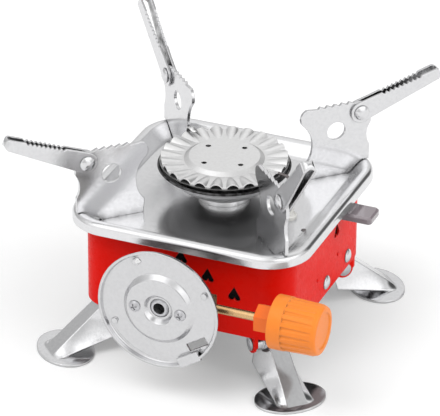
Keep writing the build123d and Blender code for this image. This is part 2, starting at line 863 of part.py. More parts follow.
def make_gas_port():
    front = -disc_crater_plane - port_front_lap
    back = port_seat() - port_seal_height
    port = rod_y(port_radius, front, port_seat(), 0, valve_level)
    port = chamfer(port.faces().sort_by(Axis.Y)[0].edges(), port_lead_in)
    port = port - rod_y(port_bore, front, back, 0, valve_level)
    port = port - rod_y(port_seal_radius, back - port_seal_height, back, 0, valve_level)
    return port - rod_y(port_pin_radius + fit_gap / 2, front, port_seat(), 0, valve_level)


def make_port_seal():
    back = port_seat() - port_seal_height
    ring = rod_y(port_seal_radius - fit_gap / 2, back - port_seal_height, back, 0, valve_level)
    return ring - rod_y(port_seal_bore, back - port_seal_height, back, 0, valve_level)


def make_port_pin():
    return rod_y(port_pin_radius, port_seat() - port_pin_length, port_seat(), 0, valve_level)


def make_valve_nut():
    start = -valve_panel + shell_sheet
    nut = Pos(0, start, valve_level) * (Rot(-90, 0, 0) * hex_prism(valve_nut_radius, valve_nut_height))
    return nut - rod_y(valve_spigot_radius + fit_gap / 2, start, start + valve_nut_height, 0, valve_level)


def make_gland_nut():
    lying = Rot(0, 90, 0) * hex_prism(gland_radius, gland_height)
    nut = Pos(valve_boss_right, -valve_front, valve_level) * lying
    bore = spindle_radius + run_gap
    return nut - rod_x(bore, valve_boss_right, valve_gland_end, -valve_front, valve_level)


def make_spindle_seal():
    start = valve_boss_right - spindle_seal_width - fit_gap
    end = valve_boss_right - fit_gap
    ring = rod_x(valve_bore - fit_gap, start, end, -valve_front, valve_level)
    return ring - rod_x(spindle_radius + run_gap, start, end, -valve_front, valve_level)


def make_spindle():
    screw_end = valve_boss_right - spindle_seal_width - slot_gap
    screw_start = screw_end - spindle_screw_length
    rod = rod_x(spindle_radius, screw_start, knob_start + knob_socket_depth, -valve_front, valve_level)
    return rod + rod_x(spindle_screw_radius, screw_start, screw_end, -valve_front, valve_level)


def make_disc():
    plate = disc_plate_plane
    rim = disc_radius - disc_sheet
    points = [
        (port_radius + fit_gap, disc_crater_plane),
        (port_radius + disc_sheet, disc_crater_plane),
        (disc_crater_radius, disc_step_plane),
        (disc_step_radius, disc_step_plane),
        (disc_step_radius + disc_step_rise, plate),
        (rim - disc_edge_roll, plate),
        (rim, disc_lip_plane),
    ]
    radii = [disc_sheet / 4, disc_crater_round, disc_step_round, disc_step_round, disc_lip_round]
    section = sheet_face(points, radii, disc_sheet, Side.RIGHT)
    disc = revolve(Plane.XZ * section, Axis.Z)
    for angle in disc_bump_angles:
        place = (disc_bump_circle * cos(radians(angle)), disc_bump_circle * sin(radians(angle)))
        disc = disc + rod_z(disc_bump_radius, plate - disc_sheet / 2, plate + disc_bump_rise, *place)
    turned = Rot(0, 0, disc_latch_angle)
    window = block(
        disc_window_place - disc_window_height / 2,
        disc_window_place + disc_window_height / 2,
        disc_window_offset - disc_window_length / 2,
        disc_window_offset + disc_window_length / 2,
        plate - 2 * disc_sheet,
        plate + disc_sheet,
    )
    disc = disc - turned * window
    tab_start = disc_tab_offset - disc_tab_length / 2
    tab_end = disc_tab_offset + disc_tab_length / 2
    tab_far = disc_tab_place + disc_tab_reach
    riser = block(
        disc_tab_place, disc_tab_place + disc_sheet,
        tab_start, tab_end,
        plate - disc_sheet / 2, disc_lip_plane
    )
    flap = block(disc_tab_place, tab_far, tab_start, tab_end, disc_lip_plane - disc_sheet, disc_lip_plane)
    disc = disc + turned * (riser + flap)
    for sign in (-1, 1):
        low = disc_step_plane - cut_over
        high = disc_step_plane + cut_over
        disc = disc - rod_z(disc_screw_radius + fit_gap / 2, low, high, sign * disc_screw_offset, 0)
    return Pos(0, 0, valve_level) * (Rot(90, 0, 0) * disc)


def make_disc_screw(sign):
    head = domed_head(disc_screw_head_radius, disc_screw_head_height, rivet_head_edge)
    for angle in (20, 110):
        slot = Box(disc_screw_cross_length, disc_screw_cross_width, 2 * disc_screw_cross_depth)
        head = head - Pos(0, 0, disc_screw_head_height) * (Rot(0, 0, angle) * slot)
    shank = Cylinder(disc_screw_radius, disc_screw_depth, align=(Align.CENTER, Align.CENTER, Align.MAX))
    screw = head + shank
    return Pos(sign * disc_screw_offset, -disc_step_plane, valve_level) * (Rot(90, 0, 0) * screw)


def make_knob():
    rib_start = knob_start + knob_ring_length
    rib_end = rib_start + knob_rib_length
    points = [
        (knob_start, 0),
        (knob_start, knob_ring_radius),
        (rib_start, knob_ring_radius),
        (rib_start, knob_rib_radius),
        (rib_end, knob_rib_end_radius),
        (knob_end, knob_end_radius),
        (knob_end, knob_dish_radius),
        (knob_end - knob_end_dish, knob_dish_radius - knob_end_dish),
        (knob_end - knob_end_dish, 0),
    ]
    turned = revolve(polygon_face(points), Axis.X)
    rim_edges = turned.edges().filter_by(GeomType.CIRCLE).group_by(SortBy.RADIUS)[-1]
    turned = fillet(rim_edges, (knob_ring_radius - knob_rib_radius) / 2)
    end_edges = turned.edges().filter_by(GeomType.CIRCLE).filter_by(
        lambda edge: abs(edge.radius - knob_end_radius) < fit_gap / 2
    )
    turned = fillet(end_edges, knob_edge_round)
    for number in range(knob_groove_count):
        angle = number * 360 / knob_groove_count
        height = knob_rib_radius + knob_groove_radius / 3
        groove = rod_x(knob_groove_radius, rib_start + fit_gap, rib_end, 0, height)
        groove = groove + Pos(rib_end, 0, height) * Sphere(knob_groove_radius)
        turned = turned - Rot(angle, 0, 0) * groove
    hub_section = RegularPolygon(knob_hub_across / 2, 6, major_radius=False)
    hub_rod = Rot(0, 90, 0) * extrude(hub_section, amount=knob_start - knob_hub_start)
    hub = Pos(knob_hub_start, 0, 0) * hub_rod
    knob = turned + hub
    knob = knob - rod_x(spindle_radius + fit_gap / 2, knob_hub_start, knob_start + knob_socket_depth, 0, 0)
    return Pos(0, -valve_front, valve_level) * knob


def leg_section(along, web_width, depth):
    """The leg's channel across its web, at a distance up from the tip."""
    half = leg_width / 2
    web = web_width / 2
    points = [(-half, -depth), (-web, 0), (web, 0), (half, -depth)]
    strip = offset(Polyline(*points), amount=leg_sheet, side=Side.RIGHT, kind=Kind.INTERSECTION)
    return Pos(0, 0, along) * make_face(strip)


def leg_side():
    """The leg's outline from the side: web, end behind the pin, and the flanges down to the pad."""
    slope = radians(leg_slope)
    web_level = leg_tip_level + leg_reach * sin(slope) / cos(slope)
    pin_depth = (web_level - leg_pin_level) * cos(slope)
    run = sqrt(leg_swing * leg_swing - pin_depth * pin_depth)
    end_place = leg_pin_place + pin_depth * sin(slope) - run * cos(slope)
    end_level = leg_pin_level + pin_depth * cos(slope) + run * sin(slope)
    over_x = cut_over * sin(slope)
    over_z = cut_over * cos(slope)
    outline = [
        (end_place, end_level),
        (end_place + over_x, end_level + over_z),
        (leg_tip_place + cut_over + over_x, over_z),
        (leg_tip_place + cut_over, 0),
        (leg_pin_place, 0),
        (leg_pin_place - leg_lobe, leg_pin_level),
    ]
    return polygon_face(outline) + Pos(leg_pin_place, leg_pin_level) * Circle(leg_lobe)


def make_leg():
    slope = radians(leg_slope)
    up_web = Plane(
        origin=(leg_tip_place, 0, leg_tip_level), x_dir=(0, -1, 0), z_dir=(-cos(slope), 0, sin(slope))
    )
    tip = leg_section(0, leg_web_width, leg_tip_depth)
    root = leg_section(leg_length, leg_root_width, leg_tip_depth + leg_depth_share * leg_length)
    channel = loft([up_web * tip, up_web * root], ruled=True)
    channel = channel & upright(leg_side(), 2 * leg_width)
    barrel = rod_y(leg_barrel_radius, -leg_width / 2, leg_width / 2, leg_pin_place, leg_pin_level)
    plate = Pos(pad_place, 0, 0) * extrude(Ellipse(pad_along / 2, pad_across / 2), amount=leg_sheet)
    return plate + channel + barrel - pin_run()


def pin_run():
    return rod_y(leg_pin_radius + run_gap, -leg_width, leg_width, leg_pin_place, leg_pin_level)


def make_leg_pin():
    length = 2 * (ear_far + fit_gap)
    pin = turned_rivet(leg_pin_radius, length, leg_pin_head_radius, leg_pin_head_height, rivet_head_edge)
    return Pos(leg_pin_place, 0, leg_pin_level) * (Rot(90, 0, 0) * pin)


def make_piezo():
    end = piezo_start + piezo_length
    body = rod_x(piezo_radius, piezo_start, end, igniter_offset, igniter_level)
    body = body + rod_x(piezo_collar_radius, end, end + piezo_collar_length, igniter_offset, igniter_level)
    depth = button_stem_length + button_travel
    return body - rod_x(
        piezo_bore,
        end + piezo_collar_length - depth, end + piezo_collar_length,
        igniter_offset, igniter_level
    )


def make_button():
    inner = piezo_start + piezo_length + piezo_collar_length + button_travel + fit_gap
    grip_start = shell_half + button_travel + slot_gap
    near = igniter_offset - button_width / 2
    far = igniter_offset + button_width / 2
    neck_end = grip_start + button_end_round
    neck = block(inner, neck_end, near, far, button_bottom, button_bottom + button_height)
    grip = block(grip_start, button_reach, near, far, button_bottom, button_bottom + button_grip_height)
    ends = grip.edges().filter_by(Axis.Z).sort_by(Axis.X)[-2:]
    grip = fillet(ends, button_end_round)
    grip = chamfer(grip.faces().sort_by(Axis.Z)[-1].edges(), button_edge_slant)
    stem_start = inner - button_travel - button_stem_length
    stem_end = inner + button_stop_length
    stem = rod_x(button_stem_radius, stem_start, stem_end, igniter_offset, igniter_level)
    return neck + grip + stem


def make_yoke():
    wall = shell_half - shell_sheet
    low = side_rivet_level - yoke_height / 2
    near = side_rivet_places[0] - yoke_margin
    far = side_rivet_places[1] + yoke_margin
    shelf_top = igniter_level - piezo_radius
    yoke = block(wall - yoke_sheet, wall, near, far, low, low + yoke_height)
    for place in side_rivet_places:
        half = yoke_strip_width / 2
        yoke = yoke + block(wall - yoke_sheet, wall, place - half, place + half, low, shelf_top)
    yoke = yoke + block(yoke_shelf_start, wall, side_rivet_places[0] - yoke_strip_width / 2,
                        side_rivet_places[1] + yoke_strip_width / 2, shelf_top - yoke_sheet, shelf_top)
    for place in side_rivet_places:
        hole = rod_x(side_rivet_radius + fit_gap / 2, wall - cut_over, wall, place, side_rivet_level)
        yoke = yoke - hole
    return yoke


def make_side_rivet(place):
    length = shell_sheet + yoke_sheet
    rivet = turned_rivet(
        side_rivet_radius, length, side_rivet_head_radius, side_rivet_head_height, rivet_head_edge
    )
    return Pos(shell_half - length / 2, place, side_rivet_level) * (Rot(0, 90, 0) * rivet)


def make_insulator():
    body = rod_z(insulator_radius, insulator_bottom, insulator_top, insulator_x, insulator_y)
    flange = rod_z(
        insulator_flange_radius, tray_floor, tray_floor + insulator_flange_height, insulator_x, insulator_y
    )
    hole = rod_z(electrode_radius + fit_gap / 2, insulator_bottom, insulator_top, insulator_x, insulator_y)
    return body + flange - hole


def make_electrode():
    path = FilletPolyline(
        (insulator_place, 0, insulator_bottom + electrode_tail),
        (insulator_place, 0, electrode_level),
        (electrode_tip_place, 0, electrode_level),
        radius=electrode_bend,
    )
    foot = (insulator_place, 0, insulator_bottom + electrode_tail)
    section = Plane(origin=foot) * Circle(electrode_radius)
    return Rot(0, 0, insulator_angle) * sweep(section, path=path)


def make_lead():
    start_x = piezo_start
    low = igniter_level - lead_drop
    path = FilletPolyline(
        (start_x, igniter_offset, igniter_level),
        (start_x - lead_bay, igniter_offset, igniter_level),
        (start_x - lead_bay, igniter_offset, low),
        (start_x - lead_bay, insulator_y - lead_bay, low),
        (insulator_x, insulator_y, low),
        (insulator_x, insulator_y, insulator_bottom),
        radius=[lead_bend / 2, lead_bend / 2, lead_bend, lead_bend],
    )
    start = (start_x, igniter_offset, igniter_level)
    section = Plane(origin=start, z_dir=(-1, 0, 0)) * Circle(lead_radius)
    return sweep(section, path=path)


arm = make_arm()
bracket = make_bracket()
leg = make_leg()
rivet = make_arm_rivet()
pin = make_leg_pin()

nodes = {
    "body_shell": make_shell(),
    "drip_tray": make_tray() - floor_cutters(),
    "burner_cup": make_cup(),
    "burner_cap": make_cap(),
    "burner_nut": make_burner_nut(),
    "mixing_tube": make_mixing_tube(),
    "tube_nut": make_tube_nut(),
    "jet_holder": make_jet_holder(),
    "gas_jet": make_gas_jet(),
    "gas_pipe": make_gas_pipe(),
    "valve_body": make_valve_body(),
    "valve_nut": make_valve_nut(),
    "connector_disc": make_disc(),
    "disc_screws": Compound(children=[make_disc_screw(-1), make_disc_screw(1)]),
    "gas_port": make_gas_port(),
    "port_seal": make_port_seal(),
    "port_pin": make_port_pin(),
    "gland_nut": make_gland_nut(),
    "spindle_seal": make_spindle_seal(),
    "valve_spindle": make_spindle(),
    "control_knob": make_knob(),
    "piezo_igniter": make_piezo(),
    "igniter_button": make_button(),
    "igniter_yoke": make_yoke(),
    "side_rivets": Compound(children=[make_side_rivet(place) for place in side_rivet_places]),
    "electrode_insulator": make_insulator(),
    "electrode_pin": make_electrode(),
    "ignition_lead": make_lead(),
    "arm_rivets": Compound(children=[at_corner(angle, rivet) for angle in corner_angles.values()]),
    "leg_pins": Compound(children=[at_corner(angle, pin) for angle in corner_angles.values()]),
}
for name, angle in corner_angles.items():
    raised = Pos(pivot_place, 0, pivot_level) * (Rot(0, -arm_tilts[name], 0) * arm)
    nodes["pot_arm_" + name] = at_corner(angle, raised)
    nodes["pot_bracket_" + name] = at_corner(angle, bracket)
    nodes["leg_" + name] = at_corner(angle, leg)

os.makedirs("parts", exist_ok=True)
for name, shape in nodes.items():
    export_step(shape, os.path.join("parts", name + ".step"))
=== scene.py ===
from math import cos, pi, radians, sin

import bmesh
import bpy
from mathutils import Matrix, Vector


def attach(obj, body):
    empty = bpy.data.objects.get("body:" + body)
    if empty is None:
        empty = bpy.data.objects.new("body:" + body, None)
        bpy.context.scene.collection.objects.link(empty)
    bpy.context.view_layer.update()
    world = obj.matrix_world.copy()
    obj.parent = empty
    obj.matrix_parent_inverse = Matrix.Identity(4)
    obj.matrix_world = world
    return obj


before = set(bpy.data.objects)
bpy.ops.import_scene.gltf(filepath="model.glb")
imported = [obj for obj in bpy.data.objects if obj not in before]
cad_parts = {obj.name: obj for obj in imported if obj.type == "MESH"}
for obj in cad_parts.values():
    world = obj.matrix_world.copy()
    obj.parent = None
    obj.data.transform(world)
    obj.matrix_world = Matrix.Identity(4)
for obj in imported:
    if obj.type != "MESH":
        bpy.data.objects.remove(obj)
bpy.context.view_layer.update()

# Folding camping gas burner: finishes, small trim, floor, light and camera.
# Lengths in metres, in the frame of the solids: front is -Y, right is +X, up is +Z.

mm = 0.001

# Camera, fitted to a picture of 440 by 416.
picture_width = 440
camera_place = (0.43387, -1.05887, 0.66647)
camera_right = (0.92365, 0.38319, 0.00573)
camera_up = (-0.18765, 0.43918, 0.87858)
camera_back = (0.33415, -0.81258, 0.47755)
camera_sensor = 36.0
camera_focal_pixels = 3705.26
camera_nearest = 0.05
camera_farthest = 50.0

# Pips pressed in the right wall: places along the wall and up it.
side_wall = 38.8 * mm
pip_places = ((-8.4 * mm, 28.1 * mm), (11.5 * mm, 28.6 * mm))
pip_radius = 0.75 * mm
pip_height = 0.35 * mm

# Small dark domes on the tray's floor where it shows dark spots: painted shade at its lanced tabs.
tray_floor = 49.6 * mm
tray_stud_places = ((26.5 * mm, -2.2 * mm), (35.0 * mm, -12.7 * mm))
tray_stud_radius = 1.0 * mm
tray_stud_height = 0.4 * mm

# Lobed stud near the top of the connector disc.
cross_stud_place = (-8.15 * mm, -57.4 * mm, 51.1 * mm)
cross_stud_radius = 1.35 * mm
cross_stud_height = 0.9 * mm
cross_stud_lobes = 0.12
cross_stud_sides = 48

# Clip bent over the cap's edge: its angle round the cap, and points out and up along it.
clip_angle = radians(145)
clip_points = (
    (19.2 * mm, 65.9 * mm),
    (21.4 * mm, 66.5 * mm),
    (22.7 * mm, 66.6 * mm),
    (23.2 * mm, 66.1 * mm),
    (23.2 * mm, 65.0 * mm),
)
clip_width = 2.0 * mm
clip_sheet = 0.35 * mm

# Heart vents, an arch of five on three walls and one on the right wall, and near-black patches
# behind them: painted shade seen through the vents.
vent_wall = 37.98 * mm
vent_width = 4.6 * mm
vent_height = 5.4 * mm
vent_top = 45.0 * mm
vent_step = 9.9 * mm
vent_drop = 5.2 * mm
arch_wall_turns = (0, 180, 270)
arch_half_count = 2
side_wall_turn = 90
side_vent_place = 9.8 * mm
side_vent_level = 39.2 * mm
vent_shade_lap = 1.0 * mm
vent_shade_back_lap = 0.8 * mm
vent_shade_depth = 1.2 * mm
side_vent_shade_depth = 0.4 * mm

# Centres that finishes are laid out from.
burner_centre = (0.0, 0.0, 0.0)
disc_centre = (0.0, 0.0, 34.4 * mm)
box_middle = (0.0, 0.0, 18.0 * mm)


# Node helpers

def add(tree, kind, **settings):
    """A new node with its settings."""
    node = tree.nodes.new(kind)
    for name, value in settings.items():
        setattr(node, name, value)
    return node


def feed(tree, source, target):
    """A link, or a plain value, into a socket."""
    if isinstance(source, bpy.types.NodeSocket):
        tree.links.new(source, target)
    else:
        target.default_value = source


def calculate(tree, operation, first, second=0.0, third=0.0, clamp=False):
    """A Math node's result."""
    node = add(tree, "ShaderNodeMath", operation=operation, use_clamp=clamp)
    for source, target in zip((first, second, third), node.inputs):
        feed(tree, source, target)
    return node.outputs[0]


def combine(tree, operation, *vectors):
    """A Vector Math node's result: a value for a dot product or a length, or else a vector."""
    node = add(tree, "ShaderNodeVectorMath", operation=operation)
    for source, target in zip(vectors, node.inputs):
        feed(tree, source, target)
    return node.outputs["Value" if operation in ("DOT_PRODUCT", "LENGTH") else "Vector"]


def spread(tree, value, low, high, out_low, out_high, smooth=True):
    """A value carried from one range to another, held at the ends."""
    node = add(tree, "ShaderNodeMapRange", clamp=True)
    node.interpolation_type = "SMOOTHSTEP" if smooth else "LINEAR"
    for source, target in zip((value, low, high, out_low, out_high), node.inputs):
        feed(tree, source, target)
    return node.outputs[0]


def blend_colour(tree, factor, first, second):
    """Two colours mixed by a factor, by the numbers of a Mix node's sockets for colour."""
    factor_socket, first_socket, second_socket, result_socket = 0, 6, 7, 2
    node = add(tree, "ShaderNodeMix", data_type="RGBA")
    feed(tree, factor, node.inputs[factor_socket])
    feed(tree, first, node.inputs[first_socket])
    feed(tree, second, node.inputs[second_socket])
    return node.outputs[result_socket]


def own_place(tree):
    """The place on the piece, in the frame's metres."""
    return add(tree, "ShaderNodeTexCoord").outputs["Object"]


def split_place(tree, place):
    """A place's X, Y and Z."""
    parts = add(tree, "ShaderNodeSeparateXYZ")
    feed(tree, place, parts.inputs[0])
    return parts.outputs


def noise_at(tree, place, scale, detail, roughness=0.5):
    """A noise value at a place."""
    noise = add(tree, "ShaderNodeTexNoise")
    for label, source in (("Vector", place), ("Scale", scale), ("Detail", detail),
                          ("Roughness", roughness)):
        feed(tree, source, noise.inputs[label])
    return noise.outputs[0]


def broken_up(tree, patch, share):
    """One, but for a share that follows a patchy value."""
    kept = calculate(tree, "SUBTRACT", 1.0, share)
    return calculate(tree, "MULTIPLY_ADD", patch, share, kept)


def start_group(name, inputs, outputs):
    """A shader node group with named sockets."""
    group = bpy.data.node_groups.new(name, "ShaderNodeTree")
    kinds = {"value": "NodeSocketFloat", "vector": "NodeSocketVector"}
    for label, kind, value in inputs:
        socket = group.interface.new_socket(label, in_out="INPUT", socket_type=kinds[kind])
        socket.default_value = value
    for label, kind in outputs:
        group.interface.new_socket(label, in_out="OUTPUT", socket_type=kinds[kind])
    return group, add(group, "NodeGroupInput").outputs, add(group, "NodeGroupOutput").inputs


def place_group(tree, group, **values):
    """A group set in a material with its own values."""
    node = add(tree, "ShaderNodeGroup", node_tree=group)
    for label, value in values.items():
        feed(tree, value, node.inputs[label.replace("_", " ").capitalize()])
    return node.outputs


# Shared effects

def make_grain_group():
    """Fine mottled grain: its height, and a mask that is sharper with more contrast."""
    middle = 0.5
    softest = 0.4
    sharpening = -0.35
    group, given, out = start_group(
        "fine_grain",
        [("Scale", "value", 800.0), ("Contrast", "value", 0.5)],
        [("Height", "value"), ("Mask", "value")],
    )
    height = noise_at(group, own_place(group), given["Scale"], detail=4.0, roughness=0.6)
    half_width = calculate(group, "MULTIPLY_ADD", given["Contrast"], sharpening, softest)
    low = calculate(group, "SUBTRACT", middle, half_width)
    high = calculate(group, "ADD", middle, half_width)
    feed(group, height, out["Height"])
    feed(group, spread(group, height, low, high, 0.0, 1.0), out["Mask"])
    return group


def make_edge_group():
    """Rounded edges: where a rounded normal leaves the surface's own, broken up by noise; a mask
    for worn edges and for an edge highlight painted in, and the rounded normal.
    """
    flat_cosine = 0.99
    edge_cosine = 0.80
    patch_low = 0.38
    patch_high = 0.62
    group, given, out = start_group(
        "rounded_edge",
        [("Width", "value", 0.4 * mm), ("Break up", "value", 0.5), ("Scale", "value", 400.0)],
        [("Mask", "value"), ("Normal", "vector")],
    )
    rounded = add(group, "ShaderNodeBevel", samples=6)
    feed(group, given["Width"], rounded.inputs["Radius"])
    own_normal = add(group, "ShaderNodeNewGeometry").outputs["Normal"]
    likeness = combine(group, "DOT_PRODUCT", rounded.outputs[0], own_normal)
    edge = spread(group, likeness, flat_cosine, edge_cosine, 0.0, 1.0)
    noise = noise_at(group, own_place(group), given["Scale"], detail=3.0)
    patch = spread(group, noise, patch_low, patch_high, 0.0, 1.0)
    broken = broken_up(group, patch, given["Break up"])
    feed(group, calculate(group, "MULTIPLY", edge, broken, clamp=True), out["Mask"])
    feed(group, rounded.outputs[0], out["Normal"])
    return group


def make_hollow_shade_group():
    """Painted shade in hollows and corners where ambient occlusion finds them, with some dust,
    broken up by noise.
    """
    open_share = 0.85
    sheltered_share = 0.25
    patch_low = 0.3
    patch_high = 0.7
    thinnest = 0.35
    group, given, out = start_group(
        "hollow_shade_and_dust",
        [("Reach", "value", 4.0 * mm), ("Scale", "value", 250.0), ("Amount", "value", 0.5)],
        [("Mask", "value")],
    )
    shelter = add(group, "ShaderNodeAmbientOcclusion", samples=6)
    feed(group, given["Reach"], shelter.inputs["Distance"])
    hollow = spread(group, shelter.outputs["AO"], open_share, sheltered_share, 0.0, 1.0)
    noise = noise_at(group, own_place(group), given["Scale"], detail=4.0)
    patch = spread(group, noise, patch_low, patch_high, thinnest, 1.0)
    mask = calculate(group, "MULTIPLY", hollow, patch)
    feed(group, calculate(group, "MULTIPLY", mask, given["Amount"], clamp=True), out["Mask"])
    return group


def make_wave_group():
    """The slow unevenness of pressed sheet."""
    group, given, out = start_group(
        "slow_waves", [("Scale", "value", 70.0)], [("Height", "value")],
    )
    feed(group, noise_at(group, own_place(group), given["Scale"], detail=1.0), out["Height"])
    return group


def make_ring_group():
    """Turning lines round an axis: noise along the radius only."""
    group, given, out = start_group(
        "turning_lines",
        [("Centre", "vector", (0, 0, 0)), ("Across", "vector", (1, 1, 0)),
         ("Scale", "value", 900.0)],
        [("Height", "value")],
    )
    away = combine(group, "SUBTRACT", own_place(group), given["Centre"])
    radius = combine(group, "LENGTH", combine(group, "MULTIPLY", away, given["Across"]))
    noise = add(group, "ShaderNodeTexNoise", noise_dimensions="1D")
    feed(group, radius, noise.inputs["W"])
    feed(group, given["Scale"], noise.inputs["Scale"])
    noise.inputs["Detail"].default_value = 3.0
    feed(group, noise.outputs[0], out["Height"])
    return group


def make_band_group():
    """Painted shade between two heights, with soft uneven ends, broken up by noise."""
    noise_scale = 420.0
    noise_middle = 0.5
    patch_low = 0.35
    patch_high = 0.65
    group, given, out = start_group(
        "height_band",
        [("Low", "value", 0.0), ("High", "value", 10.0 * mm), ("Soft", "value", 0.4 * mm),
         ("Break up", "value", 0.3)],
        [("Mask", "value")],
    )
    place = own_place(group)
    noise = noise_at(group, place, noise_scale, detail=3.0)
    shift = calculate(group, "SUBTRACT", noise, noise_middle)
    shift = calculate(group, "MULTIPLY", shift, given["Soft"])
    height = calculate(group, "ADD", split_place(group, place)["Z"], shift)
    low_start = calculate(group, "SUBTRACT", given["Low"], given["Soft"])
    high_end = calculate(group, "ADD", given["High"], given["Soft"])
    above = spread(group, height, low_start, given["Low"], 0.0, 1.0)
    below = spread(group, height, given["High"], high_end, 1.0, 0.0)
    patch = spread(group, noise, patch_low, patch_high, 0.0, 1.0)
    mask = calculate(group, "MULTIPLY", above, below)
    broken = broken_up(group, patch, given["Break up"])
    feed(group, calculate(group, "MULTIPLY", mask, broken, clamp=True), out["Mask"])
    return group


grain_group = make_grain_group()
edge_group = make_edge_group()
hollow_shade_group = make_hollow_shade_group()
wave_group = make_wave_group()
ring_group = make_ring_group()
band_group = make_band_group()


# Finishes

def opaque(colour, share=1.0):
    """A colour with its alpha, made darker or brighter by a share."""
    return (*(min(1.0, channel * share) for channel in colour), 1.0)


def start_finish(name):
    """An empty material with its Principled shader."""
    finish = bpy.data.materials.new(name)
    finish.use_nodes = True
    tree = finish.node_tree
    tree.nodes.clear()
    output = add(tree, "ShaderNodeOutputMaterial")
    shader = add(tree, "ShaderNodeBsdfPrincipled")
    feed(tree, shader.outputs[0], output.inputs["Surface"])
    return finish, tree, shader


def raise_surface(tree, shader, normal, *layers):
    """Bump layers of (height, strength, distance) over a normal, into the shader."""
    for height, strength, distance in layers:
        bump = add(tree, "ShaderNodeBump")
        bump.inputs["Strength"].default_value = strength
        bump.inputs["Distance"].default_value = distance
        feed(tree, height, bump.inputs["Height"])
        feed(tree, normal, bump.inputs["Normal"])
        normal = bump.outputs[0]
    feed(tree, normal, shader.inputs["Normal"])


def quieten(tree, tone, plain):
    """The colour as bounced rays meet it: mostly a plain grey, so that it casts little tint around
    it; where that grey is dark, it paints shade into the mirrors round it.
    """
    plain_share = 0.95
    seen = add(tree, "ShaderNodeLightPath").outputs
    bounced = calculate(tree, "MAXIMUM", seen["Is Diffuse Ray"], seen["Is Glossy Ray"])
    share = calculate(tree, "MULTIPLY", bounced, plain_share)
    return blend_colour(tree, share, tone, opaque((plain, plain, plain)))


def metal_finish(name, bright, dull, rough, grain=900.0, edge=0.25 * mm, wave_depth=0.2 * mm,
                 hollow_shade_amount=0.7, hollow=0.16, reach=4.0 * mm, rings=None, dark_band=None, plain=None):
    """Bare metal: fine grain, slow waves, edges painted bright as worn metal and as a highlight,
    painted shade with some dust in the hollows, a dark band of painted shade.
    """
    dull_share = 0.25
    edge_sheen_share = 1.12
    grain_low = 0.25
    grain_high = 0.75
    grain_depth = 0.02 * mm
    hollow_roughness = 0.18
    band_roughness = 0.25
    finish, tree, shader = start_finish(name)
    shader.inputs["Metallic"].default_value = 1.0
    speckle = place_group(tree, grain_group, scale=grain, contrast=0.4)
    rounded_edges = place_group(tree, edge_group, width=edge, break_up=0.4, scale=500.0)
    hollow_shade = place_group(tree, hollow_shade_group, reach=reach, scale=260.0, amount=hollow_shade_amount)
    slow = place_group(tree, wave_group, scale=70.0)
    dulled = calculate(tree, "MULTIPLY", speckle["Mask"], dull_share)
    tone = blend_colour(tree, dulled, opaque(bright), opaque(dull))
    # Hollows painted toward a dark grey: painted shade, partly dust.
    tone = blend_colour(tree, hollow_shade["Mask"], tone, opaque((hollow, hollow, hollow)))
    # Edges painted brighter than the metal: partly rubbed wear, partly a painted highlight where
    # the rounded edge catches light.
    tone = blend_colour(tree, rounded_edges["Mask"], tone, opaque(bright, edge_sheen_share))
    gloss = spread(tree, speckle["Height"], grain_low, grain_high, *rough, smooth=False)
    gloss = calculate(tree, "MULTIPLY_ADD", hollow_shade["Mask"], hollow_roughness, gloss)
    # The band between two heights is painted dark: painted shade in the gap under the cap's edge,
    # on the cup's rim and the cap's skirt.
    if dark_band:
        low, high, soft, shade_colour = dark_band
        shade_band = place_group(tree, band_group, low=low, high=high, soft=soft, break_up=0.15)
        tone = blend_colour(tree, shade_band["Mask"], tone, opaque(shade_colour))
        gloss = calculate(tree, "MULTIPLY_ADD", shade_band["Mask"], band_roughness, gloss)
    if plain:
        tone = quieten(tree, tone, plain)
    feed(tree, tone, shader.inputs["Base Color"])
    feed(tree, gloss, shader.inputs["Roughness"])
    layers = [(slow["Height"], 1.0, wave_depth), (speckle["Height"], 0.35, grain_depth)]
    if rings:
        centre, across, ring_scale, ring_depth = rings
        turned = place_group(tree, ring_group, centre=centre, across=across, scale=ring_scale)
        layers.append((turned["Height"], 0.4, ring_depth))
    raise_surface(tree, shader, rounded_edges["Normal"], *layers)
    return finish


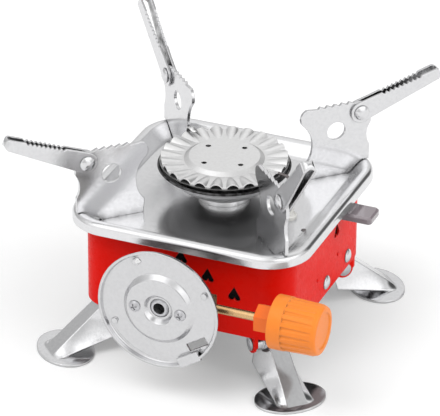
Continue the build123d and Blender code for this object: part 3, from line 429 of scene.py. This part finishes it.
def plastic_finish(name, colour, pale, rough, grain=1500.0, hollow_shade_amount=0.4, edge=0.3 * mm, coat=0.0,
                   hub_shade=None):
    """Moulded plastic: fine grain, edges paler from wear and a painted highlight, painted shade in
    the hollows, the hub painted deeper as shade.
    """
    cloud_share = 0.35
    cloud_tone = 0.78
    hollow_tone = 0.6
    edge_sheen_share = 0.5
    grain_low = 0.3
    grain_high = 0.7
    smoothest = rough - 0.05
    roughest = rough + 0.08
    grain_depth = 0.03 * mm
    finish, tree, shader = start_finish(name)
    skin = place_group(tree, grain_group, scale=grain, contrast=0.3)
    cloud = place_group(tree, grain_group, scale=120.0, contrast=0.2)
    rounded_edges = place_group(tree, edge_group, width=edge, break_up=0.6, scale=450.0)
    hollow_shade = place_group(tree, hollow_shade_group, reach=2.0 * mm, scale=300.0, amount=hollow_shade_amount)
    clouded = calculate(tree, "MULTIPLY", cloud["Mask"], cloud_share)
    edge_sheen = calculate(tree, "MULTIPLY", rounded_edges["Mask"], edge_sheen_share)
    tone = blend_colour(tree, clouded, opaque(colour), opaque(colour, cloud_tone))
    # Hollows painted darker: painted shade.
    tone = blend_colour(tree, hollow_shade["Mask"], tone, opaque(colour, hollow_tone))
    # Edges painted paler: partly wear, partly a painted highlight where the edge catches light.
    tone = blend_colour(tree, edge_sheen, tone, opaque(pale))
    # The knob's hub painted a deeper orange-red: painted shade and reflected red.
    if hub_shade:
        hub_end, grip_start, hub_shade_colour = hub_shade
        along = split_place(tree, own_place(tree))["X"]
        on_hub = spread(tree, along, hub_end, grip_start, 1.0, 0.0)
        tone = blend_colour(tree, on_hub, tone, opaque(hub_shade_colour))
    gloss = spread(tree, skin["Height"], grain_low, grain_high, smoothest, roughest)
    feed(tree, quieten(tree, tone, sum(colour) / 3), shader.inputs["Base Color"])
    feed(tree, gloss, shader.inputs["Roughness"])
    shader.inputs["Coat Weight"].default_value = coat
    shader.inputs["Coat Roughness"].default_value = 0.05
    shader.inputs["IOR"].default_value = 1.48
    raise_surface(tree, shader, rounded_edges["Normal"], (skin["Height"], 0.4, grain_depth))
    return finish


def inside_mask(tree):
    """One on faces that look in to the middle of the box: its walls' and roof's inner sides."""
    inner = -22.0 * mm
    outer = -18.0 * mm
    source = add(tree, "ShaderNodeTexCoord").outputs
    away = combine(tree, "SUBTRACT", source["Object"], box_middle)
    outward = combine(tree, "DOT_PRODUCT", away, source["Normal"])
    return spread(tree, outward, inner, outer, 1.0, 0.0)


def paint_finish(name, colour, deep, steel, inside_shade):
    """Enamel on sheet steel: slight orange peel, painted shade in the hollows, worn edges, the
    inside painted dark as shade.
    """
    cloud_share = 0.08
    chip_share = 0.18
    # Bounced rays see the paint as a dark grey: a painted reflection in the metal round it.
    bounced_tone = 0.20
    peel_low = 0.3
    peel_high = 0.7
    smoothest = 0.24
    roughest = 0.34
    wave_depth = 0.06 * mm
    peel_depth = 0.01 * mm
    finish, tree, shader = start_finish(name)
    peel = place_group(tree, grain_group, scale=420.0, contrast=0.3)
    cloud = place_group(tree, grain_group, scale=60.0, contrast=0.2)
    rounded_edges = place_group(tree, edge_group, width=0.35 * mm, break_up=0.95, scale=600.0)
    hollow_shade = place_group(tree, hollow_shade_group, reach=6.0 * mm, scale=200.0, amount=0.5)
    slow = place_group(tree, wave_group, scale=45.0)
    clouded = calculate(tree, "MULTIPLY", cloud["Mask"], cloud_share)
    chips = calculate(tree, "MULTIPLY", rounded_edges["Mask"], chip_share)
    tone = blend_colour(tree, clouded, opaque(colour), opaque(deep))
    # Hollows painted a deeper red: painted shade.
    tone = blend_colour(tree, hollow_shade["Mask"], tone, opaque(deep))
    tone = blend_colour(tree, chips, tone, opaque(steel))
    # Faces inside the box are painted near black: painted shade inside the shell.
    tone = blend_colour(tree, inside_mask(tree), tone, opaque(inside_shade))
    gloss = spread(tree, peel["Height"], peel_low, peel_high, smoothest, roughest)
    feed(tree, quieten(tree, tone, bounced_tone), shader.inputs["Base Color"])
    feed(tree, gloss, shader.inputs["Roughness"])
    shader.inputs["Specular IOR Level"].default_value = 0.06
    layers = [(slow["Height"], 1.0, wave_depth), (peel["Height"], 0.02, peel_depth)]
    raise_surface(tree, shader, rounded_edges["Normal"], *layers)
    return finish


# Each metal: its bright and dull colour, the two ends of its roughness, and what is its own.
# Rings are centre, axes across, scale and depth. A dark band of painted shade is low, high, soft
# and colour.
metals = {
    "tray_steel": dict(
        bright=(0.84, 0.84, 0.85), dull=(0.66, 0.66, 0.67), rough=(0.16, 0.24),
        wave_depth=0.1 * mm, hollow_shade_amount=0.5,
    ),
    # The arms and brackets get strong painted shade in their hollows, which darkens the insides of
    # the arms' channels.
    "arm_steel": dict(
        bright=(0.80, 0.80, 0.81), dull=(0.56, 0.56, 0.58), rough=(0.12, 0.22),
        edge=0.4 * mm, reach=10.0 * mm, hollow_shade_amount=1.0, hollow=0.05,
    ),
    "bracket_steel": dict(
        bright=(0.80, 0.80, 0.81), dull=(0.56, 0.56, 0.58), rough=(0.12, 0.22),
        edge=0.4 * mm, reach=5.0 * mm, hollow_shade_amount=1.0, hollow=0.06,
    ),
    "leg_steel": dict(
        bright=(0.82, 0.82, 0.83), dull=(0.58, 0.58, 0.60), rough=(0.08, 0.16),
        edge=0.7 * mm, wave_depth=0.3 * mm, reach=6.0 * mm, hollow=0.12,
    ),
    "ring_steel": dict(
        bright=(0.90, 0.90, 0.90), dull=(0.70, 0.70, 0.70), rough=(0.30, 0.42), hollow_shade_amount=0.1,
    ),
    # The burner and cap show bounced rays a dark grey: painted shade in the tray and brackets that
    # mirror them.
    "burner_steel": dict(
        bright=(0.86, 0.86, 0.87), dull=(0.66, 0.66, 0.67), rough=(0.40, 0.52),
        hollow_shade_amount=0.3, plain=0.17,
        dark_band=(61.6 * mm, 70.0 * mm, 0.3 * mm, (0.035, 0.034, 0.035)),
    ),
    "cap_steel": dict(
        bright=(0.95, 0.95, 0.95), dull=(0.72, 0.71, 0.70), rough=(0.34, 0.46), plain=0.28,
        rings=(burner_centre, (1, 1, 0), 1400.0, 0.02 * mm),
        dark_band=(50.0 * mm, 63.75 * mm, 0.1 * mm, (0.022, 0.021, 0.022)),
    ),
    "disc_steel": dict(
        bright=(0.71, 0.71, 0.72), dull=(0.52, 0.52, 0.53), rough=(0.10, 0.18),
        edge=0.4 * mm, reach=1.6 * mm, hollow_shade_amount=1.0, hollow=0.07, wave_depth=0.1 * mm,
        rings=(disc_centre, (1, 0, 1), 1200.0, 0.03 * mm),
    ),
    "zinc_steel": dict(
        bright=(0.62, 0.62, 0.64), dull=(0.40, 0.40, 0.42), rough=(0.24, 0.40), grain=1600.0,
    ),
    "brass": dict(
        bright=(0.74, 0.48, 0.24), dull=(0.46, 0.29, 0.13), rough=(0.20, 0.34),
        grain=1500.0, plain=0.45,
    ),
    "copper": dict(
        bright=(0.80, 0.42, 0.27), dull=(0.45, 0.22, 0.14), rough=(0.26, 0.42), plain=0.40,
    ),
    "dark_metal": dict(
        bright=(0.22, 0.20, 0.20), dull=(0.10, 0.09, 0.09), rough=(0.35, 0.5),
    ),
}
# Each plastic, rubber or ceramic. A hub shade is where the hub ends, where the grip starts, and
# its colour: the hub painted a deeper orange-red as shade and red reflection.
plastics = {
    "orange_plastic": dict(
        colour=(1.0, 0.262, 0.022), pale=(1.0, 0.42, 0.12), rough=0.36, hollow_shade_amount=0.55,
        hub_shade=(38.9 * mm, 40.0 * mm, (0.95, 0.165, 0.008)),
    ),
    "dark_plastic": dict(
        colour=(0.250, 0.212, 0.230), pale=(0.66, 0.60, 0.64), rough=0.12, edge=0.5 * mm, coat=1.0,
    ),
    "black_rubber": dict(colour=(0.028, 0.028, 0.03), pale=(0.08, 0.08, 0.08), rough=0.6),
    # Near black: painted shade behind the heart vents.
    "black_vent_shade": dict(colour=(0.004, 0.004, 0.004), pale=(0.01, 0.01, 0.01), rough=0.85),
    "white_ceramic": dict(
        colour=(0.80, 0.79, 0.75), pale=(0.9, 0.9, 0.88), rough=0.22, grain=600.0,
    ),
}
finishes = {
    "red_paint": paint_finish(
        "red_paint", colour=(0.86, 0.008, 0.003), deep=(0.56, 0.004, 0.002),
        steel=(0.55, 0.45, 0.42), inside_shade=(0.018, 0.016, 0.016),
    ),
}
for finish_name, values in metals.items():
    finishes[finish_name] = metal_finish(finish_name, **values)
for finish_name, values in plastics.items():
    finishes[finish_name] = plastic_finish(finish_name, **values)

node_finishes = {
    "body_shell": "red_paint",
    "drip_tray": "tray_steel",
    "burner_cup": "burner_steel",
    "burner_cap": "cap_steel",
    "burner_nut": "ring_steel",
    "mixing_tube": "zinc_steel",
    "tube_nut": "zinc_steel",
    "jet_holder": "brass",
    "gas_jet": "brass",
    "gas_pipe": "copper",
    "valve_body": "brass",
    "valve_nut": "zinc_steel",
    "connector_disc": "disc_steel",
    "disc_screws": "zinc_steel",
    "gas_port": "zinc_steel",
    "port_seal": "black_rubber",
    "port_pin": "brass",
    "gland_nut": "brass",
    "spindle_seal": "black_rubber",
    "valve_spindle": "brass",
    "control_knob": "orange_plastic",
    "piezo_igniter": "dark_plastic",
    "igniter_button": "dark_plastic",
    "igniter_yoke": "zinc_steel",
    "side_rivets": "bracket_steel",
    "electrode_insulator": "white_ceramic",
    "electrode_pin": "dark_metal",
    "ignition_lead": "black_rubber",
    "arm_rivets": "bracket_steel",
    "leg_pins": "zinc_steel",
}
for corner in ("front_left", "rear_left", "rear_right", "front_right"):
    node_finishes["pot_arm_" + corner] = "arm_steel"
    node_finishes["pot_bracket_" + corner] = "bracket_steel"
    node_finishes["leg_" + corner] = "leg_steel"
for node_name, node_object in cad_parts.items():
    node_object.data.materials.clear()
    node_object.data.materials.append(finishes[node_finishes[node_name]])


# Small trim

def finish_piece(name, form, finish_name, body):
    """A mesh from a bmesh, with its finish, on its body."""
    mesh = bpy.data.meshes.new(name)
    form.to_mesh(mesh)
    form.free()
    mesh.materials.append(finishes[finish_name])
    mesh.polygons.foreach_set("use_smooth", [True] * len(mesh.polygons))
    piece = bpy.data.objects.new(name, mesh)
    bpy.context.scene.collection.objects.link(piece)
    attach(piece, body)


def add_dome(form, place, turn, radius, height, sides=24, lobes=0.0):
    """A low dome on a flat: rings of points up to its crown, with four lobes where it has any."""
    rings = 5
    lobe_count = 4
    to_place = Matrix.Translation(place) @ turn
    last = None
    for ring in range(rings):
        lift = radians(90) * ring / rings
        points = []
        for side in range(sides):
            angle = 2 * pi * side / sides
            out = radius * cos(lift) * (1 + lobes * cos(lobe_count * angle))
            local = Vector((out * cos(angle), out * sin(angle), height * sin(lift)))
            points.append(form.verts.new(to_place @ local))
        if last:
            for side in range(sides):
                after = (side + 1) % sides
                form.faces.new((last[side], last[after], points[after], points[side]))
        else:
            form.faces.new(list(reversed(points)))
        last = points
    crown = form.verts.new(to_place @ Vector((0, 0, height)))
    for side in range(sides):
        form.faces.new((last[side], last[(side + 1) % sides], crown))


def add_strip(form, path, across, width, thickness):
    """A bent strip of sheet along a path, with its width across it."""
    section_corners = ((-0.5, 0), (0.5, 0), (0.5, 1), (-0.5, 1))
    sections = []
    for number, point in enumerate(path):
        before = path[max(number - 1, 0)]
        after = path[min(number + 1, len(path) - 1)]
        lift = (after - before).normalized().cross(across) * thickness
        section = []
        for side, level in section_corners:
            section.append(form.verts.new(point + across * width * side + lift * level))
        sections.append(section)
    for first, second in zip(sections, sections[1:]):
        for number in range(len(section_corners)):
            after = (number + 1) % len(section_corners)
            form.faces.new((first[number], first[after], second[after], second[number]))
    form.faces.new(list(reversed(sections[0])))
    form.faces.new(sections[-1])


def heart_outline(width, height):
    """Points round a heart with its point up, centred on its own height."""
    lobe_points = 9
    lobe_sweep = 210
    lobe_starts = ((-1, 150), (1, 180))
    lobe = width / 4
    shift = lobe - height / 2
    outline = [Vector((0.0, height - lobe + shift))]
    for side, start in lobe_starts:
        for step in range(lobe_points):
            angle = radians(start + lobe_sweep * step / (lobe_points - 1))
            outline.append(Vector((lobe * (side + cos(angle)), lobe * sin(angle) + shift)))
    return outline


def add_vent_shade(form, wall_turn, along, level, depth):
    """A dished near-black patch behind a heart vent, painted shade: a rim on the wall's inner side
    and a back set in.
    """
    turn = Matrix.Rotation(radians(wall_turn), 4, "Z")
    loops = []
    for lap, set_in in ((vent_shade_lap, 0.0), (vent_shade_back_lap, depth)):
        loop = []
        for point in heart_outline(vent_width + 2 * lap, vent_height + 2 * lap):
            local = Vector((along + point.x, set_in - vent_wall, level + point.y))
            loop.append(form.verts.new(turn @ local))
        loops.append(loop)
    rim, back = loops
    for number in range(len(rim)):
        after = (number + 1) % len(rim)
        form.faces.new((rim[number], rim[after], back[after], back[number]))
    form.faces.new(back)


pips = bmesh.new()
outward_turn = Matrix.Rotation(radians(90), 4, "Y")
for pip_y, pip_z in pip_places:
    add_dome(pips, (side_wall, pip_y, pip_z), outward_turn, pip_radius, pip_height)
finish_piece("wall_pips", pips, "red_paint", "base")

# Dark domes: painted shade on the tray's floor.
studs = bmesh.new()
for stud_x, stud_y in tray_stud_places:
    stud_place = (stud_x, stud_y, tray_floor)
    add_dome(studs, stud_place, Matrix.Identity(4), tray_stud_radius, tray_stud_height)
finish_piece("tray_studs", studs, "dark_metal", "base")

cross_stud = bmesh.new()
forward_turn = Matrix.Rotation(radians(90), 4, "X")
add_dome(cross_stud, cross_stud_place, forward_turn, cross_stud_radius, cross_stud_height,
         sides=cross_stud_sides, lobes=cross_stud_lobes)
finish_piece("disc_cross_stud", cross_stud, "ring_steel", "base")

clip = bmesh.new()
clip_out = Vector((cos(clip_angle), sin(clip_angle), 0))
clip_across = Vector((-sin(clip_angle), cos(clip_angle), 0))
clip_path = [clip_out * out + Vector((0, 0, level)) for out, level in clip_points]
add_strip(clip, clip_path, clip_across, clip_width, clip_sheet)
finish_piece("cap_clip", clip, "cap_steel", "base")

# Near-black patches behind the heart vents: painted shade inside the box.
vent_shades = bmesh.new()
for wall_turn in arch_wall_turns:
    for step in range(-arch_half_count, arch_half_count + 1):
        vent_level = vent_top - abs(step) * vent_drop
        add_vent_shade(vent_shades, wall_turn, step * vent_step, vent_level, vent_shade_depth)
add_vent_shade(vent_shades, side_wall_turn, side_vent_place, side_vent_level, side_vent_shade_depth)
finish_piece("painted_vent_shade", vent_shades, "black_vent_shade", "base")


# Floor, light and camera

# Floor: half its width, how far it is below the feet, its tone, and its glow to the camera and
# to mirrors, which makes it read white.
floor_half = 4.0
floor_drop = 0.05 * mm
floor_tone = 0.82
floor_glow_direct = 0.24
floor_glow_mirrored = 0.10

# Fill light: the side it comes from most, and its level away from that side and towards it.
fill_side = (0.25, -0.75, 0.60)
fill_cosines = (-0.75, 0.35)
fill_levels = (0.22, 0.78)

# The room that the metal mirrors: its level low down and high up, then softboxes and dark cards
# as direction, inner and outer cosine, and gain.
room_heights = (0.10, 0.85)
room_levels = (0.80, 1.15)
room_cards = (
    ((-0.81, 0.33, 0.46), 0.96, 0.80, 0.72),
    ((0.45, 0.80, 0.39), 0.985, 0.90, 0.12),
    ((0.47, 0.00, 0.88), 0.98, 0.86, 0.55),
    ((-0.33, -0.87, 0.33), 0.95, 0.72, 1.40),
    ((-0.30, -0.40, 0.87), 0.98, 0.88, 1.45),
    ((0.84, -0.30, 0.45), 0.95, 0.78, 1.90),
)

# Soft suns: name, the way they shine, strength, and how broad they are in degrees.
suns = (
    ("key_light", (0.35, 0.45, -1.0), 1.15, 40),
    ("side_light", (-0.9, 0.10, -0.6), 1.1, 60),
)


def make_floor():
    """A plain pale floor that keeps the shadow and reads white to the camera."""
    mesh = bpy.data.meshes.new("floor")
    signs = ((-1, -1), (1, -1), (1, 1), (-1, 1))
    corners = [(floor_half * x, floor_half * y, -floor_drop) for x, y in signs]
    mesh.from_pydata(corners, [], [(0, 1, 2, 3)])
    finish = bpy.data.materials.new("pale_floor")
    finish.use_nodes = True
    tree = finish.node_tree
    tree.nodes.clear()
    output = add(tree, "ShaderNodeOutputMaterial")
    matt = add(tree, "ShaderNodeBsdfDiffuse")
    matt.inputs["Color"].default_value = opaque((floor_tone, floor_tone, floor_tone))
    glow = add(tree, "ShaderNodeEmission")
    seen = add(tree, "ShaderNodeLightPath").outputs
    mirrored = calculate(tree, "MULTIPLY", seen["Is Glossy Ray"], floor_glow_mirrored)
    level = calculate(tree, "MULTIPLY_ADD", seen["Is Camera Ray"], floor_glow_direct, mirrored)
    feed(tree, level, glow.inputs["Strength"])
    both = add(tree, "ShaderNodeAddShader")
    feed(tree, matt.outputs[0], both.inputs[0])
    feed(tree, glow.outputs[0], both.inputs[1])
    feed(tree, both.outputs[0], output.inputs["Surface"])
    mesh.materials.append(finish)
    floor = bpy.data.objects.new("floor", mesh)
    bpy.context.scene.collection.objects.link(floor)


def mix_light(tree, factor, first, second):
    """Two lights of the world mixed by a factor."""
    node = add(tree, "ShaderNodeMixShader")
    for source, target in zip((factor, first, second), node.inputs):
        feed(tree, source, target)
    return node.outputs[0]


def make_world():
    """A white studio: a fill for the surfaces that is brighter from one side, and a shaded room
    for the metal to mirror.
    """
    world = bpy.data.worlds.new("studio")
    bpy.context.scene.world = world
    world.use_nodes = True
    tree = world.node_tree
    tree.nodes.clear()
    output = add(tree, "ShaderNodeOutputWorld")
    seen = add(tree, "ShaderNodeLightPath").outputs
    fill = add(tree, "ShaderNodeBackground")
    white = add(tree, "ShaderNodeBackground")
    room = add(tree, "ShaderNodeBackground")
    toward = add(tree, "ShaderNodeTexCoord").outputs["Generated"]
    facing_fill = combine(tree, "DOT_PRODUCT", toward, Vector(fill_side).normalized())
    fill_level = spread(tree, facing_fill, *fill_cosines, *fill_levels)
    room_level = spread(tree, split_place(tree, toward)["Z"], *room_heights, *room_levels)
    for direction, inner, outer, gain in room_cards:
        facing = combine(tree, "DOT_PRODUCT", toward, Vector(direction).normalized())
        kept = spread(tree, facing, outer, inner, 1.0, gain)
        room_level = calculate(tree, "MULTIPLY", room_level, kept)
    feed(tree, fill_level, fill.inputs["Strength"])
    feed(tree, room_level, room.inputs["Strength"])
    white.inputs["Strength"].default_value = 1.0
    lighting = mix_light(tree, seen["Is Glossy Ray"], fill.outputs[0], room.outputs[0])
    direct = calculate(
        tree, "ADD", seen["Is Camera Ray"], seen["Is Transmission Ray"], clamp=True,
    )
    feed(tree, mix_light(tree, direct, lighting, white.outputs[0]), output.inputs["Surface"])


def add_sun(name, toward, strength, breadth):
    """A broad soft sun that shines along a direction and isn't mirrored by the metal."""
    lamp = bpy.data.lights.new(name, "SUN")
    lamp.energy = strength
    lamp.angle = radians(breadth)
    sun = bpy.data.objects.new(name, lamp)
    sun.rotation_mode = "QUATERNION"
    sun.rotation_quaternion = Vector(toward).to_track_quat("-Z", "Y")
    sun.visible_glossy = False
    bpy.context.scene.collection.objects.link(sun)


def add_camera():
    """The camera at the picture's angle."""
    lens = bpy.data.cameras.new("camera")
    lens.sensor_width = camera_sensor
    lens.sensor_fit = "HORIZONTAL"
    lens.lens = camera_focal_pixels * camera_sensor / picture_width
    lens.clip_start = camera_nearest
    lens.clip_end = camera_farthest
    camera = bpy.data.objects.new("camera", lens)
    axes = Matrix((camera_right, camera_up, camera_back)).transposed()
    camera.matrix_world = Matrix.Translation(camera_place) @ axes.to_4x4()
    bpy.context.scene.collection.objects.link(camera)
    bpy.context.scene.camera = camera


make_floor()
make_world()
for sun_values in suns:
    add_sun(*sun_values)
add_camera()
bpy.context.scene.view_settings.view_transform = "Standard"
